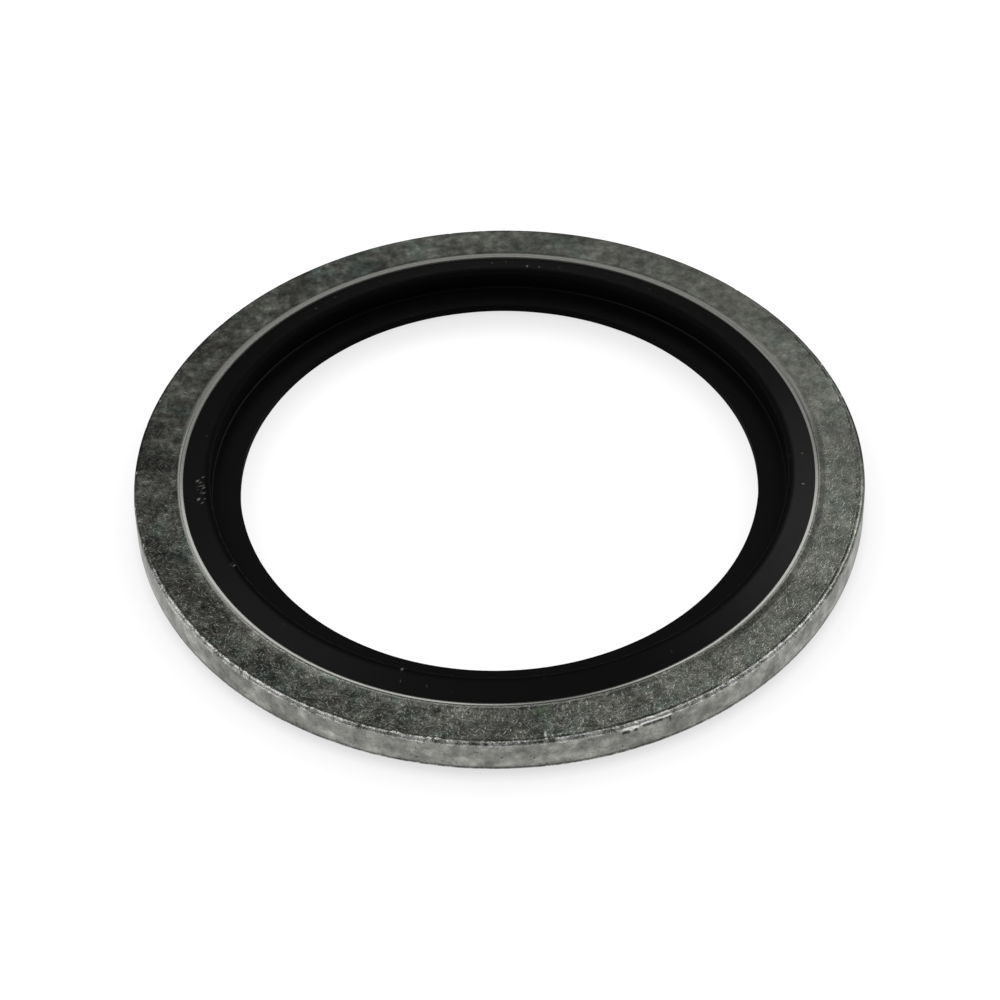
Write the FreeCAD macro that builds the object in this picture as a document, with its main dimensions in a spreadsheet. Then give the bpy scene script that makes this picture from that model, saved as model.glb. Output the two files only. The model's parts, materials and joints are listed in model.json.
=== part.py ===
import FreeCAD, Part
import math
import os
import Sketcher

# Self-centring bonded sealing washer for an M30 thread.
# A flat stamped steel ring carries a rubber ring on its inner edge. The rubber has a sealing lip on
# each face, a steep wall inside the lips, and a thin web at mid-thickness that ends in the bore.
# Millimetres, +Z up along the bore, with the origin at the centre of the bore at mid-thickness.
# Both pieces are round and alike above and below, so each is drawn as the upper half of its section,
# turned about Z and mirrored in Z = 0. Radii build outwards from the bore: web, lip, then steel.

SIZES = [
    ("bore_diameter", 27.7, "edge of the centring web, just under the root of an M30 x 2 thread"),
    ("web_width", 1.55, "how far the web reaches in from the wall below the lips"),
    ("web_thickness", 0.45, "thickness of the web"),
    ("lip_width", 1.45, "rubber between that wall and the steel"),
    ("lip_height", 0.47, "how far each lip's crest stands above the steel's flat face"),
    ("crest_round", 0.14, "rounding of the crest"),
    ("foot_round", 0.1, "rounding where the wall meets the web"),
    ("steel_width", 2.65, "width of the steel band, from its bonded edge to its rim"),
    ("steel_thickness", 2.0, "thickness of the sheet that the ring is stamped from"),
    ("rim_round", 0.24, "rounding of the rim's corners by the punch and by tumbling"),
    ("bead_height", 0.12, "how far the turned-up inner edge stands above the flat face"),
    ("bead_round", 0.5, "rounding of that edge"),
    ("bead_inset", 0.15, "from the bonded edge out to the top of the bead"),
]

# Heights and radii that both pieces share, worked out from the sizes.
BOND_RADIUS = "Sizes.bore_diameter / 2 + Sizes.web_width + Sizes.lip_width"
BEAD_CENTRE = "Sizes.steel_thickness / 2 + Sizes.bead_height - Sizes.bead_round"
BOND_HEIGHT = BEAD_CENTRE + " + sqrt(Sizes.bead_round ^ 2 - Sizes.bead_inset ^ 2)"

# Each rounding, held within the width or thickness that it is cut from.
CREST_ROUND = "min(Sizes.crest_round; 0.3 * Sizes.lip_width)"
FOOT_ROUND = "min(Sizes.foot_round; 0.5 * Sizes.web_width)"
RIM_ROUND = "min(Sizes.rim_round; 0.45 * Sizes.steel_thickness)"

# The sketcher's own numbers for a curve's ends, the origin and the axis across.
START, END, CENTRE = 1, 2, 3
ORIGIN = ACROSS = -1
QUARTER, HALF = math.pi / 2, math.pi


def make_sheet(doc):
    """The driving sizes, one named cell each."""
    sheet = doc.addObject("Spreadsheet::Sheet", "Sizes")
    for row, (name, value, meaning) in enumerate(SIZES, start=1):
        sheet.set("A%d" % row, name)
        sheet.set("B%d" % row, str(value))
        sheet.setAlias("B%d" % row, name)
        sheet.set("C%d" % row, meaning)
    doc.recompute()
    return sheet


def origin_plane(body, role):
    return next(item for item in body.Origin.OriginFeatures if item.Role == role)


def half_section(body, name):
    """An empty sketch on the body's own XZ plane: radius across, height up."""
    sketch = body.newObject("Sketcher::SketchObject", name)
    sketch.AttachmentSupport = [(origin_plane(body, "XZ_Plane"), "")]
    sketch.MapMode = "FlatFace"
    return sketch


def line(start, end):
    return Part.LineSegment(FreeCAD.Vector(*start), FreeCAD.Vector(*end))


def on_circle(centre, radius, angle):
    return centre[0] + radius * math.cos(angle), centre[1] + radius * math.sin(angle)


def arc(centre, radius, first, last):
    """An arc from the first angle round to the last, anticlockwise, as the sketcher keeps every arc."""
    circle = Part.Circle(FreeCAD.Vector(*centre), FreeCAD.Vector(0, 0, 1), radius)
    return Part.ArcOfCircle(circle, first, last)


def constrain(sketch, kind, *places):
    for ends in places:
        sketch.addConstraint(Sketcher.Constraint(kind, *ends))


def dimension(sketch, kind, ends, expression):
    """A dimension bound to the sheet. It starts at the size as drawn."""
    index = sketch.addConstraint(Sketcher.Constraint(kind, *ends, drawn_size(sketch, kind, ends)))
    sketch.setExpression("Constraints[%d]" % index, expression)


def drawn_size(sketch, kind, ends):
    if kind == "Radius":
        return sketch.Geometry[ends[0]].Radius
    apart = sketch.getPoint(ends[2], ends[3]) - sketch.getPoint(ends[0], ends[1])
    return apart.x if kind == "DistanceX" else apart.y


def turn_and_mirror(body, sketch, label):
    """Turn the half section about Z, then mirror the half ring in Z = 0."""
    half = body.newObject("PartDesign::Revolution", label + "_upper_half")
    half.Profile = sketch
    half.ReferenceAxis = (sketch, ["V_Axis"])
    half.Angle = 360
    sketch.Visibility = False
    whole = body.newObject("PartDesign::Mirrored", label + "_whole")
    whole.Originals = [half]
    whole.MirrorPlane = (origin_plane(body, "XY_Plane"), [""])
    whole.Refine = True
    body.Tip = whole


def make_body(doc, label):
    body = doc.addObject("PartDesign::Body", label)
    body.Label = label
    return body


def make_steel_ring(doc, sheet):
    """The stamped ring: bonded edge, turned-up bead, flat face and rounded rim."""
    inner = sheet.bore_diameter / 2 + sheet.web_width + sheet.lip_width
    rim = inner + sheet.steel_width
    face = sheet.steel_thickness / 2
    corner = sheet.rim_round
    bead = sheet.bead_round
    bead_centre = (inner + sheet.bead_inset, face + sheet.bead_height - bead)
    first = math.asin(1 - sheet.bead_height / bead)
    last = math.acos(-sheet.bead_inset / bead)
    bead_end = on_circle(bead_centre, bead, first)
    bond_top = on_circle(bead_centre, bead, last)

    body = make_body(doc, "steel_ring")
    sketch = half_section(body, "ring_section")
    sketch.addGeometry([
        line((inner, 0), bond_top),
        arc(bead_centre, bead, first, last),
        line(bead_end, (rim - corner, face)),
        arc((rim - corner, face - corner), corner, 0, QUARTER),
        line((rim, face - corner), (rim, 0)),
        line((rim, 0), (inner, 0)),
    ])
    bond_face, bead_arc, flat_face, rim_arc, rim_face, middle = range(6)
    constrain(sketch, "Coincident",
              (bond_face, END, bead_arc, END), (bead_arc, START, flat_face, START),
              (rim_face, END, middle, START), (middle, END, bond_face, START))
    constrain(sketch, "Tangent", (flat_face, END, rim_arc, END), (rim_arc, START, rim_face, START))
    constrain(sketch, "Vertical", (bond_face,), (rim_face,))
    constrain(sketch, "Horizontal", (flat_face,))
    constrain(sketch, "PointOnObject", (middle, START, ACROSS), (middle, END, ACROSS))

    dimension(sketch, "DistanceX", (ORIGIN, START, bond_face, END), BOND_RADIUS)
    dimension(sketch, "DistanceX", (bond_face, END, rim_face, START), "Sizes.steel_width")
    dimension(sketch, "DistanceY", (ORIGIN, START, flat_face, START), "Sizes.steel_thickness / 2")
    dimension(sketch, "DistanceX", (bond_face, END, bead_arc, CENTRE), "Sizes.bead_inset")
    dimension(sketch, "DistanceY", (ORIGIN, START, bead_arc, CENTRE), BEAD_CENTRE)
    dimension(sketch, "Radius", (bead_arc,), "Sizes.bead_round")
    dimension(sketch, "Radius", (rim_arc,), RIM_ROUND)
    turn_and_mirror(body, sketch, "stamped_ring")
    return body


def make_rubber_seal(doc, sheet):
    """The moulded rubber: bore, web, wall, crest, sloping land and bonded face."""
    bore = sheet.bore_diameter / 2
    wall = bore + sheet.web_width
    bond = wall + sheet.lip_width
    web_top = sheet.web_thickness / 2
    foot = sheet.foot_round
    crest = sheet.crest_round
    crest_top = sheet.steel_thickness / 2 + sheet.lip_height
    crest_centre = (wall + crest, crest_top - crest)
    bead_centre = sheet.steel_thickness / 2 + sheet.bead_height - sheet.bead_round
    bond_top = bead_centre + math.sqrt(sheet.bead_round ** 2 - sheet.bead_inset ** 2)
    slope = math.atan2(crest_top - bond_top, sheet.lip_width)

    body = make_body(doc, "rubber_seal")
    sketch = half_section(body, "seal_section")
    sketch.addGeometry([
        line((bore, 0), (bore, web_top)),
        line((bore, web_top), (wall - foot, web_top)),
        arc((wall - foot, web_top + foot), foot, -QUARTER, 0),
        line((wall, web_top + foot), (wall, crest_top - crest)),
        arc(crest_centre, crest, QUARTER - slope, HALF),
        line(on_circle(crest_centre, crest, QUARTER - slope), (bond, bond_top)),
        line((bond, bond_top), (bond, 0)),
        line((bond, 0), (bore, 0)),
    ])
    bore_wall, web_face, foot_arc, lip_wall, crest_arc, land, bond_face, middle = range(8)
    constrain(sketch, "Coincident",
              (bore_wall, END, web_face, START), (land, END, bond_face, START),
              (bond_face, END, middle, START), (middle, END, bore_wall, START))
    constrain(sketch, "Tangent",
              (web_face, END, foot_arc, START), (foot_arc, END, lip_wall, START),
              (lip_wall, END, crest_arc, END), (crest_arc, START, land, START))
    constrain(sketch, "Vertical", (bore_wall,), (lip_wall,), (bond_face,))
    constrain(sketch, "Horizontal", (web_face,))
    constrain(sketch, "PointOnObject", (middle, START, ACROSS), (middle, END, ACROSS))

    dimension(sketch, "DistanceX", (ORIGIN, START, bore_wall, END), "Sizes.bore_diameter / 2")
    dimension(sketch, "DistanceX", (bore_wall, END, lip_wall, START), "Sizes.web_width")
    dimension(sketch, "DistanceX", (lip_wall, END, bond_face, START), "Sizes.lip_width")
    dimension(sketch, "DistanceY", (ORIGIN, START, bore_wall, END), "Sizes.web_thickness / 2")
    dimension(sketch, "DistanceY", (ORIGIN, START, bond_face, START), BOND_HEIGHT)
    dimension(sketch, "DistanceY", (ORIGIN, START, crest_arc, CENTRE),
              "Sizes.steel_thickness / 2 + Sizes.lip_height - " + CREST_ROUND)
    dimension(sketch, "Radius", (crest_arc,), CREST_ROUND)
    dimension(sketch, "Radius", (foot_arc,), FOOT_ROUND)
    turn_and_mirror(body, sketch, "moulded_seal")
    return body


def check(doc, bodies):
    """Stop on any failed object, on a loose sketch, and on an empty or broken solid."""
    for item in doc.Objects:
        if "Invalid" in item.State or "Error" in item.State:
            raise RuntimeError("%s failed: %s" % (item.Name, item.State))
        if item.TypeId == "Sketcher::SketchObject" and not item.FullyConstrained:
            raise RuntimeError("%s is not fully constrained" % item.Name)
    for body in bodies:
        if body.Shape.isNull() or not body.Shape.isValid() or len(body.Shape.Solids) != 1:
            raise RuntimeError("%s is not one valid solid" % body.Label)


def main():
    doc = FreeCAD.newDocument("bonded_sealing_washer")
    sheet = make_sheet(doc)
    bodies = [make_steel_ring(doc, sheet), make_rubber_seal(doc, sheet)]
    doc.recompute()
    check(doc, bodies)
    os.makedirs("parts", exist_ok=True)
    for body in bodies:
        body.Shape.exportStep("parts/%s.step" % body.Label)
        box = body.Shape.optimalBoundingBox()
        print("%s: %.2f x %.2f x %.2f mm, %.2f mm3"
              % (body.Label, box.XLength, box.YLength, box.ZLength, body.Shape.Volume))


main()
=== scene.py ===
# %% [markdown]
# # A self-centring bonded sealing washer
#
# The real washer has two pieces. A flat steel ring is stamped from 2 mm sheet and plated with zinc, and
# black rubber is moulded and bonded to its inner edge. This lesson takes the size of both from the
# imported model, turns each one as a fine ring, marks them the way use and tumbling mark real ones, and
# then gives each its finish, the light and the camera.

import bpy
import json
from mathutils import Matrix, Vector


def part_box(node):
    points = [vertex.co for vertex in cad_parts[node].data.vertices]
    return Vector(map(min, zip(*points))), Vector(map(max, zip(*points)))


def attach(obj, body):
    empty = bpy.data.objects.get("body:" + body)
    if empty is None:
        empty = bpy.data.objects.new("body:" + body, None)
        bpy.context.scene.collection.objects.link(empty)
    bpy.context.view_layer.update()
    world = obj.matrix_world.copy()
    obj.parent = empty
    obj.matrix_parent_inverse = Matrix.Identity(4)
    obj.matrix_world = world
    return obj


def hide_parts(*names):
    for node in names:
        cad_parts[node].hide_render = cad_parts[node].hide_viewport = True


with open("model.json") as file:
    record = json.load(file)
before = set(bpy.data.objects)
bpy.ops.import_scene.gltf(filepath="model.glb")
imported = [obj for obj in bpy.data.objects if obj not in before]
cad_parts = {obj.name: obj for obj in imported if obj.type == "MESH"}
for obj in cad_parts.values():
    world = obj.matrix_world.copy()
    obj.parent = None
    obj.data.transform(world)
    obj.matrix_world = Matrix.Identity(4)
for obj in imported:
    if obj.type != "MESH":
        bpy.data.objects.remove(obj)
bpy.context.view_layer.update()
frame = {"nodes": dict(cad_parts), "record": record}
print("packed model:", sorted(frame["nodes"]))

# %% The modules that the lesson uses
import json
import math
from types import SimpleNamespace

import bmesh
import bpy
import numpy as np
from mathutils import Matrix, Vector

MM = 0.001
TURN = 2 * math.pi
rng = np.random.default_rng(30)

# %% [markdown]
# ## Sizes
#
# Blender works in metres, and so does the frame, but a washer is easier to think about in millimetres.
# The sizes that the model already holds are read from it, so that a change there changes this scene
# too. The rest are the section's own small sizes: the web, the rounded corners and the raised bead.

# %% Sizes in millimetres
ring_low, ring_high = (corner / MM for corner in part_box("steel_ring"))
seal_low, seal_high = (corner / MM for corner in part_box("rubber_seal"))
bore = next(m for m in frame["record"]["mounts"] if m["name"] == "bore")["dims"]

BEAD_RISE = 0.12
WEB_REACH = 1.55

RIM = min(-ring_low.x, -ring_low.y, ring_high.x, ring_high.y)
BEAD_TOP = ring_high.z
FACE = BEAD_TOP - BEAD_RISE
BOND = seal_high.x
CREST_TOP = seal_high.z
BORE = bore["r_mm"]
WEB_TOP = bore["length_mm"] / 2
WALL = BORE + WEB_REACH

RIM_ROUND = 0.24
BEAD_ROUND = 0.5
BEAD_INSET = 0.15
BEAD_TILT = math.radians(25)
BEAD_CENTRE = (BOND + BEAD_INSET, BEAD_TOP - BEAD_ROUND)
BOND_TOP = BEAD_CENTRE[1] + math.sqrt(BEAD_ROUND ** 2 - BEAD_INSET ** 2)
CREST_ROUND = 0.14
FOOT_ROUND = 0.1
print("rim %.3f, bond %.3f, bore %.3f, crest %.3f mm" % (RIM, BOND, BORE, CREST_TOP))

# %% [markdown]
# ## A pen that draws a section
#
# A turned ring is one outline spun round an axis. The outline is drawn with bmesh operators, as a pen
# would draw it: a straight stretch is a vertex extruded and moved, and a rounding is a vertex spun
# about the rounding's centre. Only the upper half is drawn, because both pieces are alike above and
# below, and a mirror makes the rest.

# %% Pen strokes
def start_at(mesh, radius, height):
    return mesh.verts.new((radius, 0, height))


def line_to(mesh, pen, radius, height, parts=1):
    """A straight stretch in equal parts. Returns the pen's new place."""
    step = (Vector((radius, 0, height)) - pen.co) / parts
    for _ in range(parts):
        drawn = bmesh.ops.extrude_vert_indiv(mesh, verts=[pen])
        pen, before = drawn["verts"][0], pen
        pen.co = before.co + step
    return pen


def arc_about(mesh, pen, centre, angle, parts):
    """A rounding about a centre, clockwise where the angle is positive."""
    drawn = bmesh.ops.spin(mesh, geom=[pen], cent=(centre[0], 0, centre[1]), axis=(0, 1, 0),
                           dvec=(0, 0, 0), angle=angle, steps=parts, use_merge=False,
                           use_normal_flip=False, use_duplicate=False)
    return next(item for item in drawn["geom_last"] if isinstance(item, bmesh.types.BMVert))


# %% [markdown]
# ## From a section to a ring
#
# The half section is mirrored, and one narrow sector is spun from it. The sector is then copied round,
# like the slices of a cake, and the seams are merged. Edges sharper than a limit stay crisp, and the
# rest are shaded smooth.

# %% Turn a half section into a whole ring
SECTORS, SECTOR_STEPS = 40, 33
SHARP_CORNER = math.radians(33)
MIRROR_MERGE = 0.0001
SEAM_MERGE = 0.001


def spin(mesh, geometry, angle, steps, use_duplicate):
    bmesh.ops.spin(mesh, geom=geometry, cent=(0, 0, 0), axis=(0, 0, 1), dvec=(0, 0, 0), angle=angle,
                   steps=steps, use_merge=False, use_normal_flip=False, use_duplicate=use_duplicate)


def turned_ring(name, draw_half_section):
    """Draw the upper half, mirror it, spin one sector, copy it round and merge the seams."""
    mesh = bmesh.new()
    draw_half_section(mesh)
    bmesh.ops.mirror(mesh, geom=mesh.verts[:] + mesh.edges[:], axis="Z", merge_dist=MIRROR_MERGE)
    spin(mesh, mesh.verts[:] + mesh.edges[:], TURN / SECTORS, SECTOR_STEPS, False)
    spin(mesh, mesh.verts[:] + mesh.edges[:] + mesh.faces[:],
         TURN * (SECTORS - 1) / SECTORS, SECTORS - 1, True)
    bmesh.ops.remove_doubles(mesh, verts=mesh.verts[:], dist=SEAM_MERGE)
    bmesh.ops.scale(mesh, vec=(MM, MM, MM), verts=mesh.verts[:])
    bmesh.ops.recalc_face_normals(mesh, faces=mesh.faces[:])
    open_edges = sum(1 for edge in mesh.edges if len(edge.link_faces) != 2)
    data = bpy.data.meshes.new(name)
    mesh.to_mesh(data)
    mesh.free()
    data.shade_smooth()
    data.set_sharp_from_angle(angle=SHARP_CORNER)
    piece = bpy.data.objects.new(name, data)
    bpy.context.scene.collection.objects.link(piece)
    print("%s: %d faces, %d open edges" % (name, len(data.polygons), open_edges))
    return piece


# %% [markdown]
# ## The steel ring
#
# The real ring is stamped flat, with a low raised bead beside its inner edge. It could be cut from a
# disc, but a turned outline keeps its faces in even rows, which carving needs. The outline runs up the
# bonded edge, over the bead, through the hollow rounding at its foot, across the flat face, round the
# corner and down the rim. Its finest steps are next to the corner, because the knocks are there.

# %% Draw and turn the steel ring
FINE_BAND = 0.6


def draw_ring_section(mesh):
    bead_sweep = math.asin(BEAD_INSET / BEAD_ROUND) + BEAD_TILT

    # The hollow at the bead's foot starts at the bead's own tilt and ends level with the face.
    bead_end = BEAD_CENTRE[0] + BEAD_ROUND * math.sin(BEAD_TILT)
    drop = BEAD_CENTRE[1] + BEAD_ROUND * math.cos(BEAD_TILT) - FACE
    hollow_round = drop / (1 - math.cos(BEAD_TILT))
    hollow_centre = (bead_end + hollow_round * math.sin(BEAD_TILT), FACE + hollow_round)

    pen = start_at(mesh, BOND, 0)
    pen = line_to(mesh, pen, BOND, BOND_TOP)
    pen = arc_about(mesh, pen, BEAD_CENTRE, bead_sweep, parts=7)
    pen = arc_about(mesh, pen, hollow_centre, -BEAD_TILT, parts=5)
    pen = line_to(mesh, pen, RIM - RIM_ROUND - FINE_BAND, FACE, parts=3)
    pen = line_to(mesh, pen, RIM - RIM_ROUND, FACE, parts=10)
    pen = arc_about(mesh, pen, (RIM - RIM_ROUND, FACE - RIM_ROUND), TURN / 4, parts=5)
    line_to(mesh, pen, RIM, 0, parts=6)


steel_ring = turned_ring("zinc_steel_ring", draw_ring_section)

# %% [markdown]
# ## The rubber seal
#
# The rubber is one moulding: the thin web that centres the washer, and a sealing lip on each face. Its
# outline starts at the bore, runs out along the web, turns up the wall through a small foot rounding,
# goes over the crest of the lip and slopes down to the steel. The slope's angle is worked out, so that
# it leaves the crest smoothly and meets the steel's edge at the bond.

# %% Draw and turn the rubber seal
def draw_seal_section(mesh):
    crest_centre = (WALL + CREST_ROUND, CREST_TOP - CREST_ROUND)
    across, down = BOND - crest_centre[0], crest_centre[1] - BOND_TOP
    land_tilt = math.atan2(down, across) + math.asin(CREST_ROUND / math.hypot(across, down))
    pen = start_at(mesh, BORE, 0)
    pen = line_to(mesh, pen, BORE, WEB_TOP, parts=2)
    pen = line_to(mesh, pen, WALL - FOOT_ROUND, WEB_TOP, parts=8)
    pen = arc_about(mesh, pen, (WALL - FOOT_ROUND, WEB_TOP + FOOT_ROUND), -TURN / 4, parts=4)
    pen = line_to(mesh, pen, WALL, crest_centre[1], parts=7)
    pen = arc_about(mesh, pen, crest_centre, TURN / 4 + land_tilt, parts=6)
    pen = line_to(mesh, pen, BOND, BOND_TOP, parts=8)
    line_to(mesh, pen, BOND, 0)


rubber_seal = turned_ring("bonded_rubber_seal", draw_seal_section)

# %% [markdown]
# ## Knocks and marks
#
# A real washer is not a perfect turning. Its edge is nicked by its neighbours, one place is bruised by a
# hard knock, and the rubber's crest is a little ragged. A picture on the surface could show such marks,
# but only carved ones catch the light from every side. So points near a mark move in or out along their
# own normals, and a tint stored on the same points tells the finish where bare metal, a dark crack or
# pale dust should show, and where shade is painted dark. Places are given as degrees round from the
# front towards the right, and as the distance along the section from a radius and a height.

# %% A piece held ready for carving
def faded(far):
    """1 at the middle of a mark, and 0 from a distance of 1 outwards."""
    return np.clip(1 - far ** 2, 0, 1) ** 2


class Carving:
    """A piece's points in millimetres, with how far each is to move and how it is tinted."""

    def __init__(self, piece, tints):
        self.mesh = piece.data
        self.points = self.read("vertices", "co").reshape(-1, 3) / MM
        self.normals = self.read("vertex_normals", "vector").reshape(-1, 3)
        x, y, self.height = self.points.T
        self.round = np.degrees(np.arctan2(x, -y)) % 360
        self.radius = np.hypot(x, y)
        self.shift = np.zeros(len(self.points))
        self.tints = {name: np.zeros(len(self.points)) for name in tints}

    def read(self, collection, value):
        items = getattr(self.mesh, collection)
        numbers = np.empty(len(items) * 3, np.float32)
        items.foreach_get(value, numbers)
        return numbers.astype(float)

    def past(self, degrees):
        """How many degrees each point lies past a place, from -180 to 180."""
        return (self.round - degrees + 180) % 360 - 180

    def spot(self, degrees, radius, height, length, width, turn=0.0):
        """1 in the middle of an oval mark and 0 outside it. A turned mark slants across the section."""
        along = self.past(degrees) * math.radians(1) * self.radius
        outward, upward = self.radius - radius, self.height - height
        across = outward - upward
        cos, sin = math.cos(turn), math.sin(turn)
        long_way = (along * cos + across * sin) / (length / 2)
        short_way = (across * cos - along * sin) / (width / 2)
        return faded(np.hypot(long_way, short_way)) * (np.hypot(outward, upward) < max(length, width))

    def stripe(self, radius, height, width):
        """1 along a circle on the section and 0 past half a width from it."""
        return faded(np.hypot(self.radius - radius, self.height - height) / (width / 2))

    def ragged(self, step, low, high=1.0):
        """Random heights round the ring, one every few degrees, joined by straight runs."""
        knots = int(360 / step)
        values = rng.uniform(low, high, knots)
        return np.interp(self.round, np.linspace(0, 360, knots + 1), np.append(values, values[0]))

    def between(self, first, last, fade):
        """1 from one angle round to the next, fading at both ends."""
        middle, half = (first + last) / 2, (last - first) / 2
        return np.clip((half - np.abs(self.past(middle))) / fade + 1, 0, 1)

    def stretches(self, rows, elsewhere=0.0):
        """A sum of stretches, each given as first angle, last angle, fade and share."""
        shares = (share * self.between(first, last, fade) for first, last, fade, share in rows)
        return sum(shares, elsewhere)

    def tint(self, name, share):
        self.tints[name] = np.maximum(self.tints[name], share)

    def finish(self):
        """Move the points, inside the model's own box, and store the tints."""
        moved_points = self.points + self.normals * self.shift[:, None]
        reach = np.hypot(moved_points[:, 0], moved_points[:, 1])
        moved_points[:, :2] *= np.minimum(1, RIM / reach)[:, None]
        moved_points[:, 2] = np.clip(moved_points[:, 2], seal_low.z, seal_high.z)
        self.mesh.vertices.foreach_set("co", (moved_points * MM).astype(np.float32).ravel())
        for name, values in self.tints.items():
            layer = self.mesh.attributes.new(name, "FLOAT", "POINT")
            layer.data.foreach_set("value", np.clip(values, 0, 1).astype(np.float32))
        self.mesh.update()
        print("%s: moved by %.3f to %.3f mm" % (self.mesh.name, self.shift.min(), self.shift.max()))


# %% [markdown]
# ## The ring's worn corner and its painted shade
#
# Stamping pulls a shallow valley just inside the corner and leaves a burr on it, and tumbling rubs the
# corner bare in stretches. All three run right round, so each is a stripe at one place on the section,
# broken up at random. The valley is tinted dark as painted shade, and so is a stripe on the lip inside it
# over one stretch. Lists of stretches say where round the ring they are strongest.

# %% Valley, burr, bare corner and painted shade
CORNER_INSET = 0.07
EDGE = (RIM - CORNER_INSET, FACE - CORNER_INSET)
LIP_LINE = RIM - 0.3
GRIME_LINE = LIP_LINE - 0.09
BURR = (RIM - 0.17, FACE - 0.02)

# Each stretch: first angle, last angle, fade and share.
TORN = ((-66, 122, 12, 0.4), (-2, 70, 10, 0.3))
RUBBED_BARE = ((-70, 60, 12, 0.42), (296, 347, 8, 0.45), (12, 54, 6, 0.46), (-12, 10, 4, 0.26))
BRIGHT_BURR = ((296, 347, 8, 0.4),)
GRIMY_LIP = ((40, 98, 8, 0.5),)


def worn_corner(ring):
    torn = ring.stretches(TORN, elsewhere=0.3)
    bright = ring.stretches(BRIGHT_BURR, elsewhere=0.28)
    for side in (1, -1):
        valley = ring.stripe(LIP_LINE, side * FACE, width=0.22) * ring.ragged(0.9, low=0.3) * torn
        burr = ring.stripe(BURR[0], side * BURR[1], width=0.16) * ring.ragged(0.7, low=-0.3).clip(0, 1)
        corner = ring.stripe(EDGE[0], side * EDGE[1], width=0.56) * ring.ragged(0.6, low=0.35)
        ring.shift += 0.02 * burr * torn - 0.04 * valley
        # Painted shade: the valley is tinted dark, and so is a stripe on the lip inside it.
        ring.tint("dark", valley * 1.15)
        ring.tint("dark", ring.stripe(GRIME_LINE, side * FACE, width=0.4) * ring.stretches(GRIMY_LIP))
        ring.tint("bare", burr * torn * bright)
        ring.tint("bare", corner * ring.stretches(RUBBED_BARE))


# %% [markdown]
# ## Nicks and pits
#
# The corner takes a small dent from each hard touch, and the sheared rim is pitted. There are hundreds
# of both and no two are alike, so they are placed at random. Two of the pits stand out in the picture
# and have their own places.

# %% Nicks in the corner and pits in the rim
NICKS = 230
UPPER_SHARE = 0.65
SEEN_PITS = [(345.0, 0.05), (3.7, 0.62)]
OTHER_PITS = 220
RIM_BAND = 0.15


def corner_spot(ring, degrees, off, side, length, width):
    """A dent on the upper or the lower corner, a little off its middle."""
    if side > 0:
        return ring.spot(degrees, EDGE[0] + off, EDGE[1], length, width)
    across = (ring.radius - EDGE[0] - off) + (ring.height + EDGE[1])
    along = ring.past(degrees) * math.radians(1) * RIM
    return faded(np.hypot(along / (length / 2), across / (width / 2)))


def corner_nicks(ring):
    for _ in range(NICKS):
        degrees, off = rng.uniform(0, 360), rng.normal(0, 0.07)
        side = 1 if rng.random() < UPPER_SHARE else -1
        length, width = rng.uniform(0.12, 0.5), rng.uniform(0.1, 0.22)
        nick = (ring.height * side > 0) * corner_spot(ring, degrees, off, side, length, width)
        ring.shift -= rng.uniform(0.015, 0.045) * nick
        ring.tint("bare", nick * rng.uniform(0.3, 1.0))


def rim_spot(ring, degrees, height, length, width):
    """A mark on the rim alone, which doesn't reach round the corner."""
    return ring.spot(degrees, RIM, height, length, width) * (ring.radius > RIM - RIM_BAND)


def rim_pits(ring):
    others = [(rng.uniform(0, 360), rng.uniform(-0.8, 0.8)) for _ in range(OTHER_PITS)]
    for degrees, height in SEEN_PITS + others:
        pit = rim_spot(ring, degrees, height, rng.uniform(0.1, 0.22), rng.uniform(0.08, 0.2))
        ring.shift -= rng.uniform(0.015, 0.04) * pit
        ring.tint("dark", pit * rng.uniform(0.4, 1.3))


# %% [markdown]
# ## The bruise
#
# A hard knock at the front right has torn the corner. It pushed up a bright burr, opened a crack just
# under it and broke flakes off to both sides. The crack is tinted dark, partly as the crack itself and
# partly as the burr's painted shadow. Each stretch of the burr is given by its two ends and by how far it
# hangs below the corner.

# %% The bruise and the chips beside it
BRUISES = ((17.2, 19.8, 0.16), (20.6, 25.2, 0.02))
CHIPPED = ((7.5, 17.2, 26), (19.8, 20.6, 3), (25.3, 33.0, 26), (33.0, 45.0, 14))
UPPER_HALF = 0.3


def bruise(ring):
    for first, last, drop in BRUISES:
        here = ring.between(first + 0.5, last - 0.5, 1.1) * (ring.height > UPPER_HALF)
        level = EDGE[1] - drop
        burr = ring.stripe(EDGE[0] + 0.03, level + 0.02, width=0.58) * here * ring.ragged(0.3, low=0.3)
        # The crack's dark tint is partly the crack and partly the burr's painted shadow.
        crack = ring.stripe(RIM, level - 0.2, width=0.28) * here * ring.ragged(0.4, low=0.2)
        ring.shift += 0.09 * burr - 0.12 * crack
        ring.tint("bare", burr * 2.2)
        ring.tint("dark", crack * 2.2)
    cut = ring.spot(25.1, RIM, height=0.58, length=0.2, width=0.85)
    ring.shift -= 0.05 * cut
    ring.tint("dark", cut * 1.2)


def chips(ring):
    for first, last, count in CHIPPED:
        for _ in range(count):
            degrees, off = rng.uniform(first, last), rng.normal(0, 0.05)
            chip = ring.spot(degrees, RIM - 0.1, FACE - 0.06 + off, rng.uniform(0.12, 0.3), width=0.2)
            ring.shift += rng.uniform(-0.03, 0.02) * chip
            ring.tint("bare", chip * rng.uniform(0.4, 1.0))


# %% [markdown]
# ## Single marks
#
# A few small marks at the front catch the eye: four glints on the corner, one short score across it,
# and shallow scrapes on the rim just under it. They are too few for chance to place, so each has its
# own place here.

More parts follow.
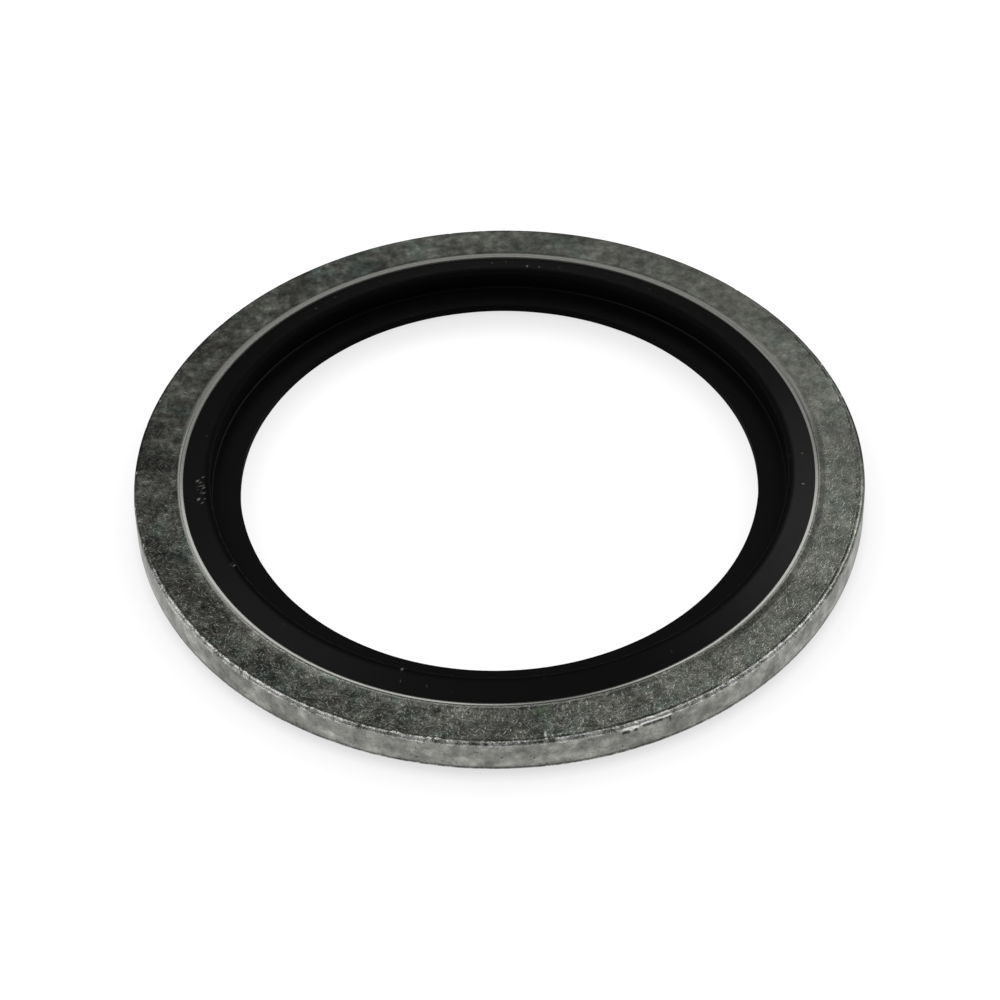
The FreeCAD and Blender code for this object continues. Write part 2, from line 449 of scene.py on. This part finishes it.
# %% Glints, a score and scrapes
# Degrees round and length of each glint, then degrees round, height and length of each scrape.
GLINTS = ((343.2, 0.3), (344.0, 0.2), (348.6, 0.3), (349.9, 0.34))
SCRAPES = ((348.5, 0.42, 1.1), (355.6, 0.4, 1.1), (350.8, 0.2, 0.6), (358.2, 0.2, 0.6),
           (1.5, 0.5, 0.7), (5.7, -0.6, 0.25), (11.0, 0.5, 0.5), (337.0, 0.4, 0.5))
MARK_WIDTH = 0.26


def single_marks(ring):
    for degrees, length in GLINTS:
        glint = ring.spot(degrees, RIM - 0.2, FACE, length, MARK_WIDTH)
        ring.shift += 0.07 * glint
        ring.tint("bare", glint * 1.6)
    score = ring.spot(6.0, RIM - 0.42, FACE, length=0.14, width=0.8)
    ring.shift += 0.03 * score
    ring.tint("bare", score * 1.5)
    for degrees, height, length in SCRAPES:
        scrape = rim_spot(ring, degrees, height, length, MARK_WIDTH)
        ring.shift -= 0.012 * scrape
        ring.tint("dark", scrape * 0.5)


# %% Carve the steel ring
def carve_steel_ring():
    ring = Carving(steel_ring, ("bare", "dark"))

    # Stamping leaves the ring about a hundredth of a millimetre out of true.
    ring.shift += 0.006 * np.sin(np.radians(ring.round * 2 + 40))
    ring.shift += 0.004 * np.sin(np.radians(ring.round * 5))
    ring.shift += ring.ragged(3, low=-0.004, high=0.004) * (ring.radius > RIM - 0.1)
    for mark in (worn_corner, corner_nicks, bruise, chips, rim_pits, single_marks):
        mark(ring)
    ring.finish()


carve_steel_ring()

# %% [markdown]
# ## The rubber's marks
#
# Rubber isn't dented, but its crest comes a little uneven from the mould and is torn at the front left,
# and dust and crumbs of rubber lie on the lip. A crumb is a very small raised spot with a pale tint. It
# is part of the rubber's own surface, because a loose grain of this size would hardly show.

# %% Carve the rubber seal
TORN_CREST = ((287, 306, 3, 0.88),)
LAND_SLOPE = 0.27

# Each heap: degrees round, radius, how many crumbs, spread in degrees and spread in millimetres.
CRUMB_HEAPS = (
    (275.5, 15.85, 44, 4.2, 0.26),
    (296.0, 15.6, 5, 1.2, 0.08),
    (315.0, 15.95, 4, 0.9, 0.2),
    (341.0, 15.6, 2, 0.6, 0.1),
    (350.5, 16.3, 1, 0.0, 0.0),
    (112.8, 15.95, 1, 0.0, 0.0),
    (89.6, 15.5, 1, 0.0, 0.0),
    (88.6, 15.95, 1, 0.0, 0.0),
    (180.0, 16.1, 34, 180.0, 0.35),
)

# Each slanted scuff, one on the wall and one on the web: degrees round, radius and height.
SCUFFS = ((133.5, WALL, 0.85), (132.4, BORE + 0.6, WEB_TOP))


def torn_crest(seal):
    for side in (1, -1):
        torn = seal.ragged(0.8, low=-0.4).clip(0, 1) * seal.stretches(TORN_CREST, elsewhere=0.12)
        line = seal.stripe(WALL + CREST_ROUND - 0.08, side * (CREST_TOP - 0.05), width=0.2)
        seal.shift -= 0.05 * torn * line
        seal.tint("dust", 0.3 * torn * line)


def crumbs(seal):
    for degrees, radius, count, turn_spread, radius_spread in CRUMB_HEAPS:
        for _ in range(count):
            at = degrees + rng.uniform(-turn_spread, turn_spread)
            out = radius + rng.uniform(-radius_spread, radius_spread)
            level = CREST_TOP - 0.05 - (out - WALL - CREST_ROUND) * LAND_SLOPE
            length, width, turn = rng.uniform(0.12, 0.34), rng.uniform(0.1, 0.18), rng.uniform(0, math.pi)
            crumb = seal.spot(at, out, level, length, width, turn)
            seal.shift += 0.02 * crumb
            seal.tint("dust", crumb * rng.uniform(0.35, 1.0))


def carve_rubber_seal():
    seal = Carving(rubber_seal, ("dust",))
    seal.shift += 0.004 * np.sin(np.radians(seal.round * 3)) + seal.ragged(4, low=-0.003, high=0.003)
    torn_crest(seal)
    crumbs(seal)
    for degrees, radius, height in SCUFFS:
        scuff = seal.spot(degrees, radius, height, length=0.14, width=0.6, turn=0.25)
        seal.shift -= 0.015 * scuff
        seal.tint("dust", scuff * 0.35)
    seal.finish()


carve_rubber_seal()

# %% [markdown]
# ## Shader maths
#
# A finish is a sum of many small masks, and wiring each Math node by hand would hide what it does. This
# small class wraps a node's output, so that a line such as `1 - mask * 0.5` adds the nodes itself.

# %% A wire between shader nodes
class Wire:
    """One output of a shader node. Arithmetic on wires adds the Math nodes that it needs."""

    def __init__(self, tree, socket=None):
        self.tree = tree
        self.socket = socket

    def node(self, kind, settings=None, inputs=None, output=0):
        """Any node: its type, its settings, then the values or wires of its sockets."""
        made = self.tree.nodes.new(kind)
        for name, value in (settings or {}).items():
            setattr(made, name, value)
        for name, value in (inputs or {}).items():
            if isinstance(value, Wire):
                self.tree.links.new(value.socket, made.inputs[name])
            else:
                made.inputs[name].default_value = value
        return Wire(self.tree, made.outputs[output] if made.outputs else None)

    def also(self, output):
        """Another output of the same node."""
        return Wire(self.tree, self.socket.node.outputs[output])

    def maths(self, operation, *terms):
        return self.node("ShaderNodeMath", {"operation": operation}, dict(enumerate(terms)))

    def __add__(self, other):
        return self.maths("ADD", self, other)

    __radd__ = __add__

    def __sub__(self, other):
        return self.maths("SUBTRACT", self, other)

    def __rsub__(self, other):
        return self.maths("SUBTRACT", other, self)

    def __mul__(self, other):
        return self.maths("MULTIPLY", self, other)

    __rmul__ = __mul__

    def __truediv__(self, other):
        return self.maths("DIVIDE", self, other)

    def __pow__(self, other):
        return self.maths("POWER", self, other)

    def __rpow__(self, other):
        return self.maths("POWER", other, self)


# %% Words for the masks
def size_of(wire):
    """A value without its sign."""
    return wire.maths("ABSOLUTE", wire)


def rise(wire, low, high):
    """0 below low and 1 above high, or the other way round where low is the larger."""
    return wire.node("ShaderNodeMapRange", {"interpolation_type": "SMOOTHSTEP"},
                     {"Value": wire, "From Min": low, "From Max": high})


def band(wire, middle, half_width):
    """1 in the middle and 0 past half a width on either side."""
    return rise(size_of(wire - middle), half_width, 0)


def mixed(factor, first, second):
    """A colour between two, each a wire or three numbers."""
    colours = {6: first, 7: second}
    inputs = {slot: c if isinstance(c, Wire) else (*c, 1) for slot, c in colours.items()}
    return factor.node("ShaderNodeMix", {"data_type": "RGBA", "clamp_factor": True},
                       {0: factor, **inputs}, 2)


def shaded(factor, colour):
    """A colour made darker or lighter by a number."""
    return factor.node("ShaderNodeVectorMath", {"operation": "SCALE"}, {0: colour, "Scale": factor})


def parts_of(wire):
    """The three numbers in a place or a colour."""
    split = wire.node("ShaderNodeSeparateXYZ", inputs={0: wire})
    return split, split.also("Y"), split.also("Z")


def reach_of(x, y):
    """How far a place is from the middle, seen from above."""
    return (x * x + y * y) ** 0.5


# %% Words for patterns
def moved(place, offset=(0, 0, 0), scale=(1, 1, 1)):
    return place.node("ShaderNodeMapping", inputs={"Vector": place, "Location": offset, "Scale": scale})


def cloud(place, size, detail, roughness):
    """Soft random light and dark, whose patches are about one size across."""
    return place.node("ShaderNodeTexNoise", inputs={"Vector": place, "Scale": 1 / size, "Detail": detail,
                                                    "Roughness": roughness})


def carved(place, name):
    """A tint that the carving stored on the piece."""
    return place.node("ShaderNodeAttribute", {"attribute_name": name}, output="Fac")


# %% Start and end a material
def new_finish(name):
    """An empty material, and the place on the piece in millimetres."""
    material = bpy.data.materials.new(name)
    material.use_nodes = True
    material.node_tree.nodes.clear()
    tree = Wire(material.node_tree)
    place = tree.node("ShaderNodeTexCoord", output="Object")
    return material, moved(place, scale=(1 / MM, 1 / MM, 1 / MM))


def finish_with(place, colour, metallic, roughness, height, depth, fixed=None):
    """The surface itself: its colour, its gloss and its fine relief, whose depth is in millimetres."""
    relief = place.node("ShaderNodeBump", inputs={"Height": height, "Strength": 1, "Distance": depth * MM})
    surface = place.node("ShaderNodeBsdfPrincipled", inputs={
        "Base Color": colour, "Metallic": metallic, "Roughness": roughness, "Normal": relief,
        **(fixed or {})})
    place.node("ShaderNodeOutputMaterial", inputs={"Surface": surface})


# %% [markdown]
# ## Short scratches
#
# A zinc-plated washer is tumbled with thousands of others, and each touch leaves a short bright mark.
# A Voronoi pattern gives every cell its own random numbers and its middle. Turning the place about that
# middle by a random angle, and keeping what lies near one short bent line, puts one mark in each cell.

# %% One mark in each cell
def short_marks(place, spacing, length, width, bend, shift):
    """Short curved marks at random angles. Each has its own length and strength."""
    here = moved(place, (shift, -shift, 0))
    middle = here.node("ShaderNodeTexVoronoi", {"voronoi_dimensions": "2D", "feature": "F1"},
                       {"Vector": here, "Scale": 1 / spacing, "Randomness": 1}, "Position")
    turn_share, length_share, strength = parts_of(middle.also("Color"))
    turned = here.node("ShaderNodeVectorRotate", {"rotation_type": "Z_AXIS"},
                       {"Vector": here, "Center": middle, "Angle": turn_share * TURN})
    offset = here.node("ShaderNodeVectorMath", {"operation": "SUBTRACT"}, {0: turned, 1: middle})
    along, across, _ = parts_of(offset)
    half_length = (length_share * 0.7 + 0.3) * (length / 2)
    bent = across - along * along * (bend * (length_share - 0.5))
    on_line = rise(size_of(bent), width / 2, 0)
    in_reach = rise(size_of(along) / half_length, 1, 0.6)
    return on_line * in_reach * strength


# %% [markdown]
# ## Where things are on the ring
#
# One finish covers the whole ring, so that it has no seams, and masks by radius, height and side tell
# its faces apart. The bead's bright band is painted wider behind, as its highlight is, and its outer side
# there is a pale matt painted highlight. Painted shade darkens the hollow beside the bead on the right,
# and the flat face is painted paler on its lit side.

# %% The ring's zones
RUBBED_SIDE = math.radians(108)
GRIMY_SIDE = math.radians(72)


def ring_zones(place):
    """Masks that are 1 where their names say. A side runs from -1 on the far side to 1 on its own."""
    x, y, height = parts_of(place)
    radius = reach_of(x, y)
    zone = SimpleNamespace(x=x, y=y, height=height, radius=radius)
    zone.behind = y / (radius * 2) + 0.5
    # The side on which the light falls, from -1 to 1; the flat face is painted paler towards it.
    zone.rubbed = (x * math.sin(RUBBED_SIDE) - y * math.cos(RUBBED_SIDE)) / radius
    # The side on which the hollow beside the bead is painted in shade.
    grimy_side = (x * math.sin(GRIMY_SIDE) - y * math.cos(GRIMY_SIDE)) / radius

    # The bead's bright band is painted wider behind, as its highlight is, and narrower on the side of the
    # hollow's painted shade.
    bead_edge = rise(zone.behind, 0.45, 0.75) * 0.2 - rise(grimy_side, 0.5, 0.9) * 0.07 + BOND + 0.27
    zone.bead = rise(radius - bead_edge, 0.06, -0.04)
    inner_edge = rise(radius, BOND + 0.22, BOND + 0.12)
    # Painted highlight along the bead's inner edge in front.
    zone.polished = rise(zone.behind, 0.55, 0.35) * (1 - band(x / radius, 0.17, 0.38)) * inner_edge
    # Painted highlight: behind, the bead's outer side is pale and matt.
    zone.matt_flank = band(radius, BOND + 0.32, 0.29) * rise(zone.behind, 0.5, 0.75)
    hollow = rise(radius, BOND + 0.2, BOND + 0.29) * rise(radius, BOND + 0.72, BOND + 0.48)
    # Painted shade in the hollow beside the bead on the right.
    zone.grime = hollow * rise(grimy_side, 0.66, 0.92)

    zone.rim = rise(radius, RIM - 0.1, RIM - 0.02)
    zone.face = (1 - zone.bead) * (1 - zone.rim)
    # Painted shade along the ring's far edge.
    zone.far_edge = rise(radius, RIM - 0.26, RIM - 0.1) * rise(zone.behind, 0.4, 0.55)
    return zone


# %% Patterns that the ring's faces share
def plating_patterns(place):
    """Random patterns, from wide patches down to fine grain."""
    pattern = SimpleNamespace()
    pattern.patches = cloud(moved(place, (4, 1, 0)), 1.6, 3, 0.6) - 0.5
    pattern.blotches = cloud(place, 0.5, 3, 0.6) - 0.5
    pattern.grain = cloud(place, 0.14, 2, 0.6)
    pattern.mottle = rise(pattern.grain, 0.3, 0.7)
    return pattern


# %% [markdown]
# ## The flat face
#
# The plating on the flat face is dull and mottled, with greenish and brownish passivation in soft
# patches and thousands of short bright marks. Its lightness is a power of two, because patches that
# differ by a share of their own lightness look even in dark and in light places. The side on which the
# light falls is painted paler. Fine marks are strongest in front and coarse mottling behind, and the lit
# side has less of both.

# %% The dull flat face
PLATING = (0.108, 0.112, 0.098)
GREENISH = (0.09, 0.107, 0.094)
BROWNISH = (0.107, 0.103, 0.095)
SCRATCHED = (0.3, 0.303, 0.275)


def flat_face(place, zone, pattern):
    """The flat face's colour and relief."""
    fine = 0.15 + (1 - zone.behind) * (1 - zone.rubbed * 0.3) * 0.75
    coarse = 1 - zone.rubbed * 0.52 + zone.behind * 0.3
    uneven = coarse * (pattern.patches * 3.2 + pattern.blotches * 3.6) + fine * (pattern.grain - 0.5) * 3.2
    # Painted light: the flat face is paler on its lit side.
    tone = 2 ** uneven * (zone.rubbed * 0.57 + 1.07)

    greenish = rise(cloud(moved(place, (7, 3, 0)), 1.9, 3, 0.55), 0.48, 0.66)
    brownish = rise(cloud(moved(place, (2, 9, 0)), 1.3, 3, 0.55), 0.5, 0.68)
    plating = mixed(greenish * coarse * 0.8, PLATING, GREENISH)
    plating = mixed(brownish * coarse * 0.7, plating, BROWNISH)

    marks = (short_marks(place, 0.3, 0.42, 0.1, 1.5, 0.0)
             + short_marks(place, 0.36, 0.5, 0.1, 1, 5.3)
             + short_marks(place, 0.25, 0.32, 0.09, 2, 11.7))
    scratches = short_marks(place, 0.9, 0.8, 0.07, 1, 17.1)
    colour = mixed(fine * (marks * 0.38 + scratches * 0.45), shaded(tone, plating), SCRATCHED)
    relief = pattern.blotches * 0.4 + fine * (pattern.mottle * 0.3 + marks * 0.8)
    return colour, relief


# %% [markdown]
# ## The rim
#
# The rim is sheared by the press and then tumbled, which leaves it satin, with pale scuffs and dark
# scrapes, and painted shade darkens its lower edge. The marks are drawn on the rim unrolled flat, where
# one direction runs round the ring and the other is height, so that they keep their shape.

# %% The sheared rim
SHEARED = (0.235, 0.238, 0.218)


def sheared_rim(place, zone, pattern):
    """The rim's colour and relief."""
    round_way = zone.x.maths("ARCTAN2", zone.x, 0 - zone.y) * RIM
    unrolled = place.node("ShaderNodeCombineXYZ", inputs={0: round_way, 1: zone.height})
    scuffs = short_marks(unrolled, 0.42, 0.5, 0.1, 1, 0.0)
    scrapes = (short_marks(unrolled, 0.6, 0.42, 0.08, 2, 4.1)
               + short_marks(unrolled, 0.42, 0.14, 0.1, 0, 9.2))
    satin = cloud(place, 0.8, 3, 0.6) - 0.5
    wear = 0.9 + pattern.mottle * 0.14 + scuffs * 0.3 - scrapes * 0.7
    tone = 2 ** (pattern.patches * 3.4 + satin * 3.0) * wear
    # Painted shade along the rim's lower edge.
    lower_edge = rise(zone.height, -0.6, -0.76)
    colour = shaded(tone * (1 - lower_edge * 0.74), SHEARED)
    return colour, pattern.mottle * 0.4 + scuffs * 0.4


# %% [markdown]
# ## The bead, the stain and the torn places
#
# The bead is rubbed smooth and bright, and a painted highlight makes it brighter along its inner edge in
# front. Painted shade darkens the ring's far edge and the hollow beside the bead on the right, and one
# small green stain lies on the flat face at the front. The tints that the carving stored are coarser than
# torn metal looks, so a fine noise is added to them before they are cut off.

# %% The rubbed bead, its painted highlight and shade, and the stain
BEAD_METAL = (0.3, 0.304, 0.282)
FLANK_GREY = (0.25, 0.253, 0.232)
STAIN = (1.85, -17.35)
STAIN_GREEN = (0.062, 0.105, 0.056)


def bead_and_stain(zone, pattern, colour):
    stained = rise(reach_of(zone.x - STAIN[0], zone.y - STAIN[1]), 0.65, 0.1)
    colour = mixed(stained * (pattern.mottle * 0.25 + 0.3), colour, STAIN_GREEN)
    # The bead is painted brighter along its inner edge in front, as a painted highlight.
    bead_tone = (0.92 + pattern.mottle * 0.16) * (zone.polished * 1.2 + 0.9)
    colour = mixed(zone.bead, colour, shaded(bead_tone, BEAD_METAL))
    # Painted shade: the ring's far edge and the hollow beside the bead on the right are darkened.
    colour = shaded((1 - zone.far_edge * 0.75) * (1 - zone.grime * 0.8), colour)
    # Painted highlight: the bead's outer side behind is a pale matt grey.
    return mixed(zone.matt_flank, colour, shaded(0.86 + pattern.mottle * 0.2, FLANK_GREY))


# %% Bare and dark places
def torn_places(place):
    ragged = cloud(place, 0.08, 2, 0.6) - 0.5
    bare = rise(carved(place, "bare") + ragged * 1.1, 0.15, 0.75)
    dark = rise(carved(place, "dark") + ragged * 0.8, 0.2, 0.7)
    return bare, dark


# %% Zinc-plated steel
BARE_METAL = (0.7, 0.705, 0.68)
CRACK_BLACK = (0.03, 0.031, 0.028)
PLATING_RELIEF = 0.02


def zinc_plated_steel():
    material, place = new_finish("zinc_plated_steel")
    zone = ring_zones(place)
    pattern = plating_patterns(place)
    face_colour, face_relief = flat_face(place, zone, pattern)
    rim_colour, rim_relief = sheared_rim(place, zone, pattern)
    bare, dark = torn_places(place)

    colour = bead_and_stain(zone, pattern, mixed(zone.rim, face_colour, rim_colour))
    colour = mixed(bare, colour, shaded(0.7 + pattern.mottle * 0.5, BARE_METAL))
    # The dark tint is partly real marks and partly painted shade in the valley, beside the lip and under
    # the burr.
    colour = mixed(dark * 0.9, colour, CRACK_BLACK)

    # A torn place is too rough to mirror the room, except where it lies on the rim itself.
    torn_rough = bare * (1 - rise(zone.radius, RIM - 0.06, RIM - 0.01))
    # The bead's outer side behind is not metallic, so that its pale painted highlight shows.
    metallic = (1 - torn_rough * 0.7) * (1 - zone.matt_flank)
    roughness = zone.face * (0.39 + pattern.blotches * 0.1) + zone.rim * 0.4 + zone.bead * 0.17
    relief = zone.face * face_relief + zone.rim * rim_relief
    finish_with(place, colour, metallic, roughness + zone.far_edge * 0.4, relief, PLATING_RELIEF)
    return material


# %% [markdown]
# ## The moulded rubber
#
# Nitrile rubber comes out of its mould nearly black and half glossy. It picks up pale dust, which shows
# as small specks, and its gloss is a little uneven. Its colour and its small specular level keep it as
# black beside the bright steel as in the picture. The wall inside the lips is painted a shade paler, as a
# painted sheen for the light it catches, and the crest and the web's edge are duller.

# %% Nitrile rubber
RUBBER_BLACK = (0.0018, 0.0018, 0.0017)
RUBBER_CLOUDED = (0.0028, 0.0028, 0.0026)
WALL_BLACK = (0.006, 0.006, 0.0057)
DUST = (0.3, 0.3, 0.285)
RUBBER_RELIEF = 0.012
RUBBER_GLOSS = 0.05


def nitrile_rubber():
    material, place = new_finish("nitrile_rubber")
    x, y, height = parts_of(place)
    radius = reach_of(x, y)
    clouds = cloud(place, 0.9, 3, 0.55)
    grain = cloud(place, 0.06, 1, 0.5)
    dust = rise(short_marks(place, 1.3, 0.16, 0.1, 0, 3.1), 0.7, 0.95)
    settled = rise(carved(place, "dust"), 0.1, 0.9)

    wall = rise(radius, WALL - 0.1, WALL - 0.03) * rise(radius, WALL + 0.1, WALL + 0.03)
    on_top = rise(size_of(height), CREST_TOP - 0.2, CREST_TOP - 0.1)
    crest = band(radius, WALL + CREST_ROUND, 0.3) * on_top
    web_edge = rise(radius, BORE + 0.06, BORE + 0.02)

    colour = mixed(clouds, RUBBER_BLACK, RUBBER_CLOUDED)
    # Painted sheen: the wall inside the lips is a shade paler.
    colour = mixed(wall * (1 - crest), colour, WALL_BLACK)
    colour = mixed(dust * 0.12 + settled * 0.8, colour, DUST)
    roughness = 0.3 + clouds * 0.1 + dust * 0.3 + crest * 0.5 + web_edge * 0.5
    finish_with(place, colour, 0.0, roughness, grain * 0.3 + dust, RUBBER_RELIEF,
                {"Specular IOR Level": RUBBER_GLOSS})
    return material


# %% [markdown]
# ## Dressing the pieces
#
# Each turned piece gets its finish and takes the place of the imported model's plain solid. Nothing on a
# washer moves, so both ride on the root body.

# %% Put the finishes on
def dress(piece, material, node, slot):
    piece.data.materials.append(material)
    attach(piece, "root")
    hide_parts(node)
    print("%s: %s, %d shader nodes" % (piece.name, slot, len(material.node_tree.nodes)))


dress(steel_ring, zinc_plated_steel(), "steel_ring", "zinc_plated_steel")
dress(rubber_seal, nitrile_rubber(), "rubber_seal", "nitrile_rubber")

# %% [markdown]
# ## The table
#
# The washer lies on its lower lip. The table is a wide plain plane at that height, lowered by a hair so
# that no point of the crest shows through it. In a bright light tent it burns out to white, and only
# the soft shadow next to the washer is left. The camera and the reflections are shown that: white, with
# a shadow grey where the washer hides the tent. Two Ambient Occlusion nodes measure how much it hides,
# one close to the washer and one further out. A small share of the lamps' own shadows is added.

# %% A white table that keeps the shadow
TABLE_REACH = 3.0
TABLE_DROP = 0.002
TABLE_WHITE = (1, 1, 1, 1)
TABLE_PAINT = (0.8, 0.8, 0.8, 1)
LIT_SHARE = 0.05
SHADOW_GREY = 0.62
SHADOW_SAMPLES = 4
NEAR_REACH = 0.7
WIDE_REACH = 2.3
WIDE_SHARE = 0.65


def white_table():
    mesh = bmesh.new()
    bmesh.ops.create_grid(mesh, x_segments=4, y_segments=4, size=TABLE_REACH)
    bmesh.ops.translate(mesh, vec=(0, 0, (seal_low.z - TABLE_DROP) * MM), verts=mesh.verts[:])
    data = bpy.data.meshes.new("table")
    mesh.to_mesh(data)
    mesh.free()
    table = bpy.data.objects.new("table", data)
    bpy.context.scene.collection.objects.link(table)
    return table


def open_to_tent(tree):
    """1 where the table sees the whole tent, and less where the washer hides part of it."""
    near, wide = (tree.node("ShaderNodeAmbientOcclusion", {"samples": SHADOW_SAMPLES},
                            {"Distance": reach * MM}, "AO") for reach in (NEAR_REACH, WIDE_REACH))
    return near * (1 - (1 - wide) * WIDE_SHARE)


def paint_table(table):
    material = bpy.data.materials.new("white_table")
    material.use_nodes = True
    material.node_tree.nodes.clear()
    tree = Wire(material.node_tree)
    path = tree.node("ShaderNodeLightPath", output="Is Camera Ray")
    seen = path.maths("MAXIMUM", path, path.also("Is Glossy Ray"))
    seen = seen.maths("MAXIMUM", seen, path.also("Is Transmission Ray"))
    plain = tree.node("ShaderNodeBsdfDiffuse", inputs={"Color": TABLE_PAINT})
    lit = tree.node("ShaderNodeBsdfDiffuse", inputs={"Color": (LIT_SHARE, LIT_SHARE, LIT_SHARE, 1)})
    grey = tree.node("ShaderNodeEmission", inputs={"Color": TABLE_WHITE, "Strength": SHADOW_GREY})
    white = tree.node("ShaderNodeEmission", inputs={"Color": TABLE_WHITE, "Strength": 1})
    tent = tree.node("ShaderNodeMixShader", inputs={0: open_to_tent(tree), 1: grey, 2: white})
    tent = tree.node("ShaderNodeAddShader", inputs={0: tent, 1: lit})
    surface = tree.node("ShaderNodeMixShader", inputs={0: seen, 1: plain, 2: tent})
    tree.node("ShaderNodeOutputMaterial", inputs={"Surface": surface})
    table.data.materials.append(material)
    print("table: %.4f mm below the bore's middle" % -(seal_low.z - TABLE_DROP))


paint_table(white_table())

# %% [markdown]
# ## The light
#
# Dim even light fills the room, and six soft boxes stand behind, beside and above the washer. They are
# what shows in the metal, so each is named by where it stands, how far off, how wide and high, and how
# bright its face is. A lamp's power then follows from its face.

# %% Room light and soft boxes
ROOM_LIGHT = 0.08
SOFT_BOXES = {
    # name: (degrees round from behind towards the right, degrees up, distance, width, height, glow)
    "right_box": (60, 45, 0.16, 0.09, 0.09, 3.2),
    "right_wall": (40, 35, 0.30, 0.10, 0.20, 2.15),
    "left_box": (-78, 55, 0.16, 0.09, 0.09, 3.8),
    "left_wall": (-36, 40, 0.30, 0.10, 0.16, 0.95),
    "back_wall": (-3, 42, 0.30, 0.12, 0.12, 0.7),
    "top_box": (0, 85, 0.20, 0.10, 0.10, 1.15),
}


def room_light(strength):
    world = bpy.data.worlds.new("room")
    world.use_nodes = True
    sky = world.node_tree.nodes["Background"]
    sky.inputs["Color"].default_value = (1, 1, 1, 1)
    sky.inputs["Strength"].default_value = strength
    bpy.context.scene.world = world


def soft_box(name, round_degrees, up_degrees, distance, width, height, glow):
    around, up = math.radians(round_degrees), math.radians(up_degrees)
    level = math.cos(up)
    place = distance * Vector((math.sin(around) * level, math.cos(around) * level, math.sin(up)))
    data = bpy.data.lights.new(name, "AREA")
    data.shape = "RECTANGLE"
    data.size, data.size_y = width, height
    data.energy = glow * math.pi * width * height
    lamp = bpy.data.objects.new(name, data)
    lamp.location = place
    lamp.rotation_euler = place.to_track_quat("Z", "Y").to_euler()
    lamp.visible_camera = False
    bpy.context.scene.collection.objects.link(lamp)
    print("%s: %.4f W" % (name, data.energy))


room_light(ROOM_LIGHT)
for name, setting in SOFT_BOXES.items():
    soft_box(name, *setting)

# %% [markdown]
# ## The camera
#
# The camera looks down at 45 degrees from the front through a long lens, so the ring's back is hardly
# smaller than its front. It leans a little, which tips the whole ring as in the picture.

# %% Camera
CAMERA_UP = math.radians(45.13)
CAMERA_LEAN = math.radians(-1.455)
CAMERA_DISTANCE = 195.0
AIM = Vector((0.02, -0.39, -1.0))
LENS = 130.7
NEAREST_SEEN = 0.01

camera_data = bpy.data.cameras.new("camera")
camera_data.lens = LENS
camera_data.clip_start = NEAREST_SEEN
camera = bpy.data.objects.new("camera", camera_data)
away = Vector((0, -math.cos(CAMERA_UP), math.sin(CAMERA_UP)))
facing = Matrix.Rotation(TURN / 4 - CAMERA_UP, 4, "X") @ Matrix.Rotation(CAMERA_LEAN, 4, "Z")
camera.matrix_world = Matrix.Translation((AIM + away * CAMERA_DISTANCE) * MM) @ facing
bpy.context.scene.collection.objects.link(camera)
bpy.context.scene.camera = camera
bpy.context.scene.view_settings.view_transform = "Standard"
print("camera: %.1f mm lens, %.0f mm away" % (LENS, CAMERA_DISTANCE))
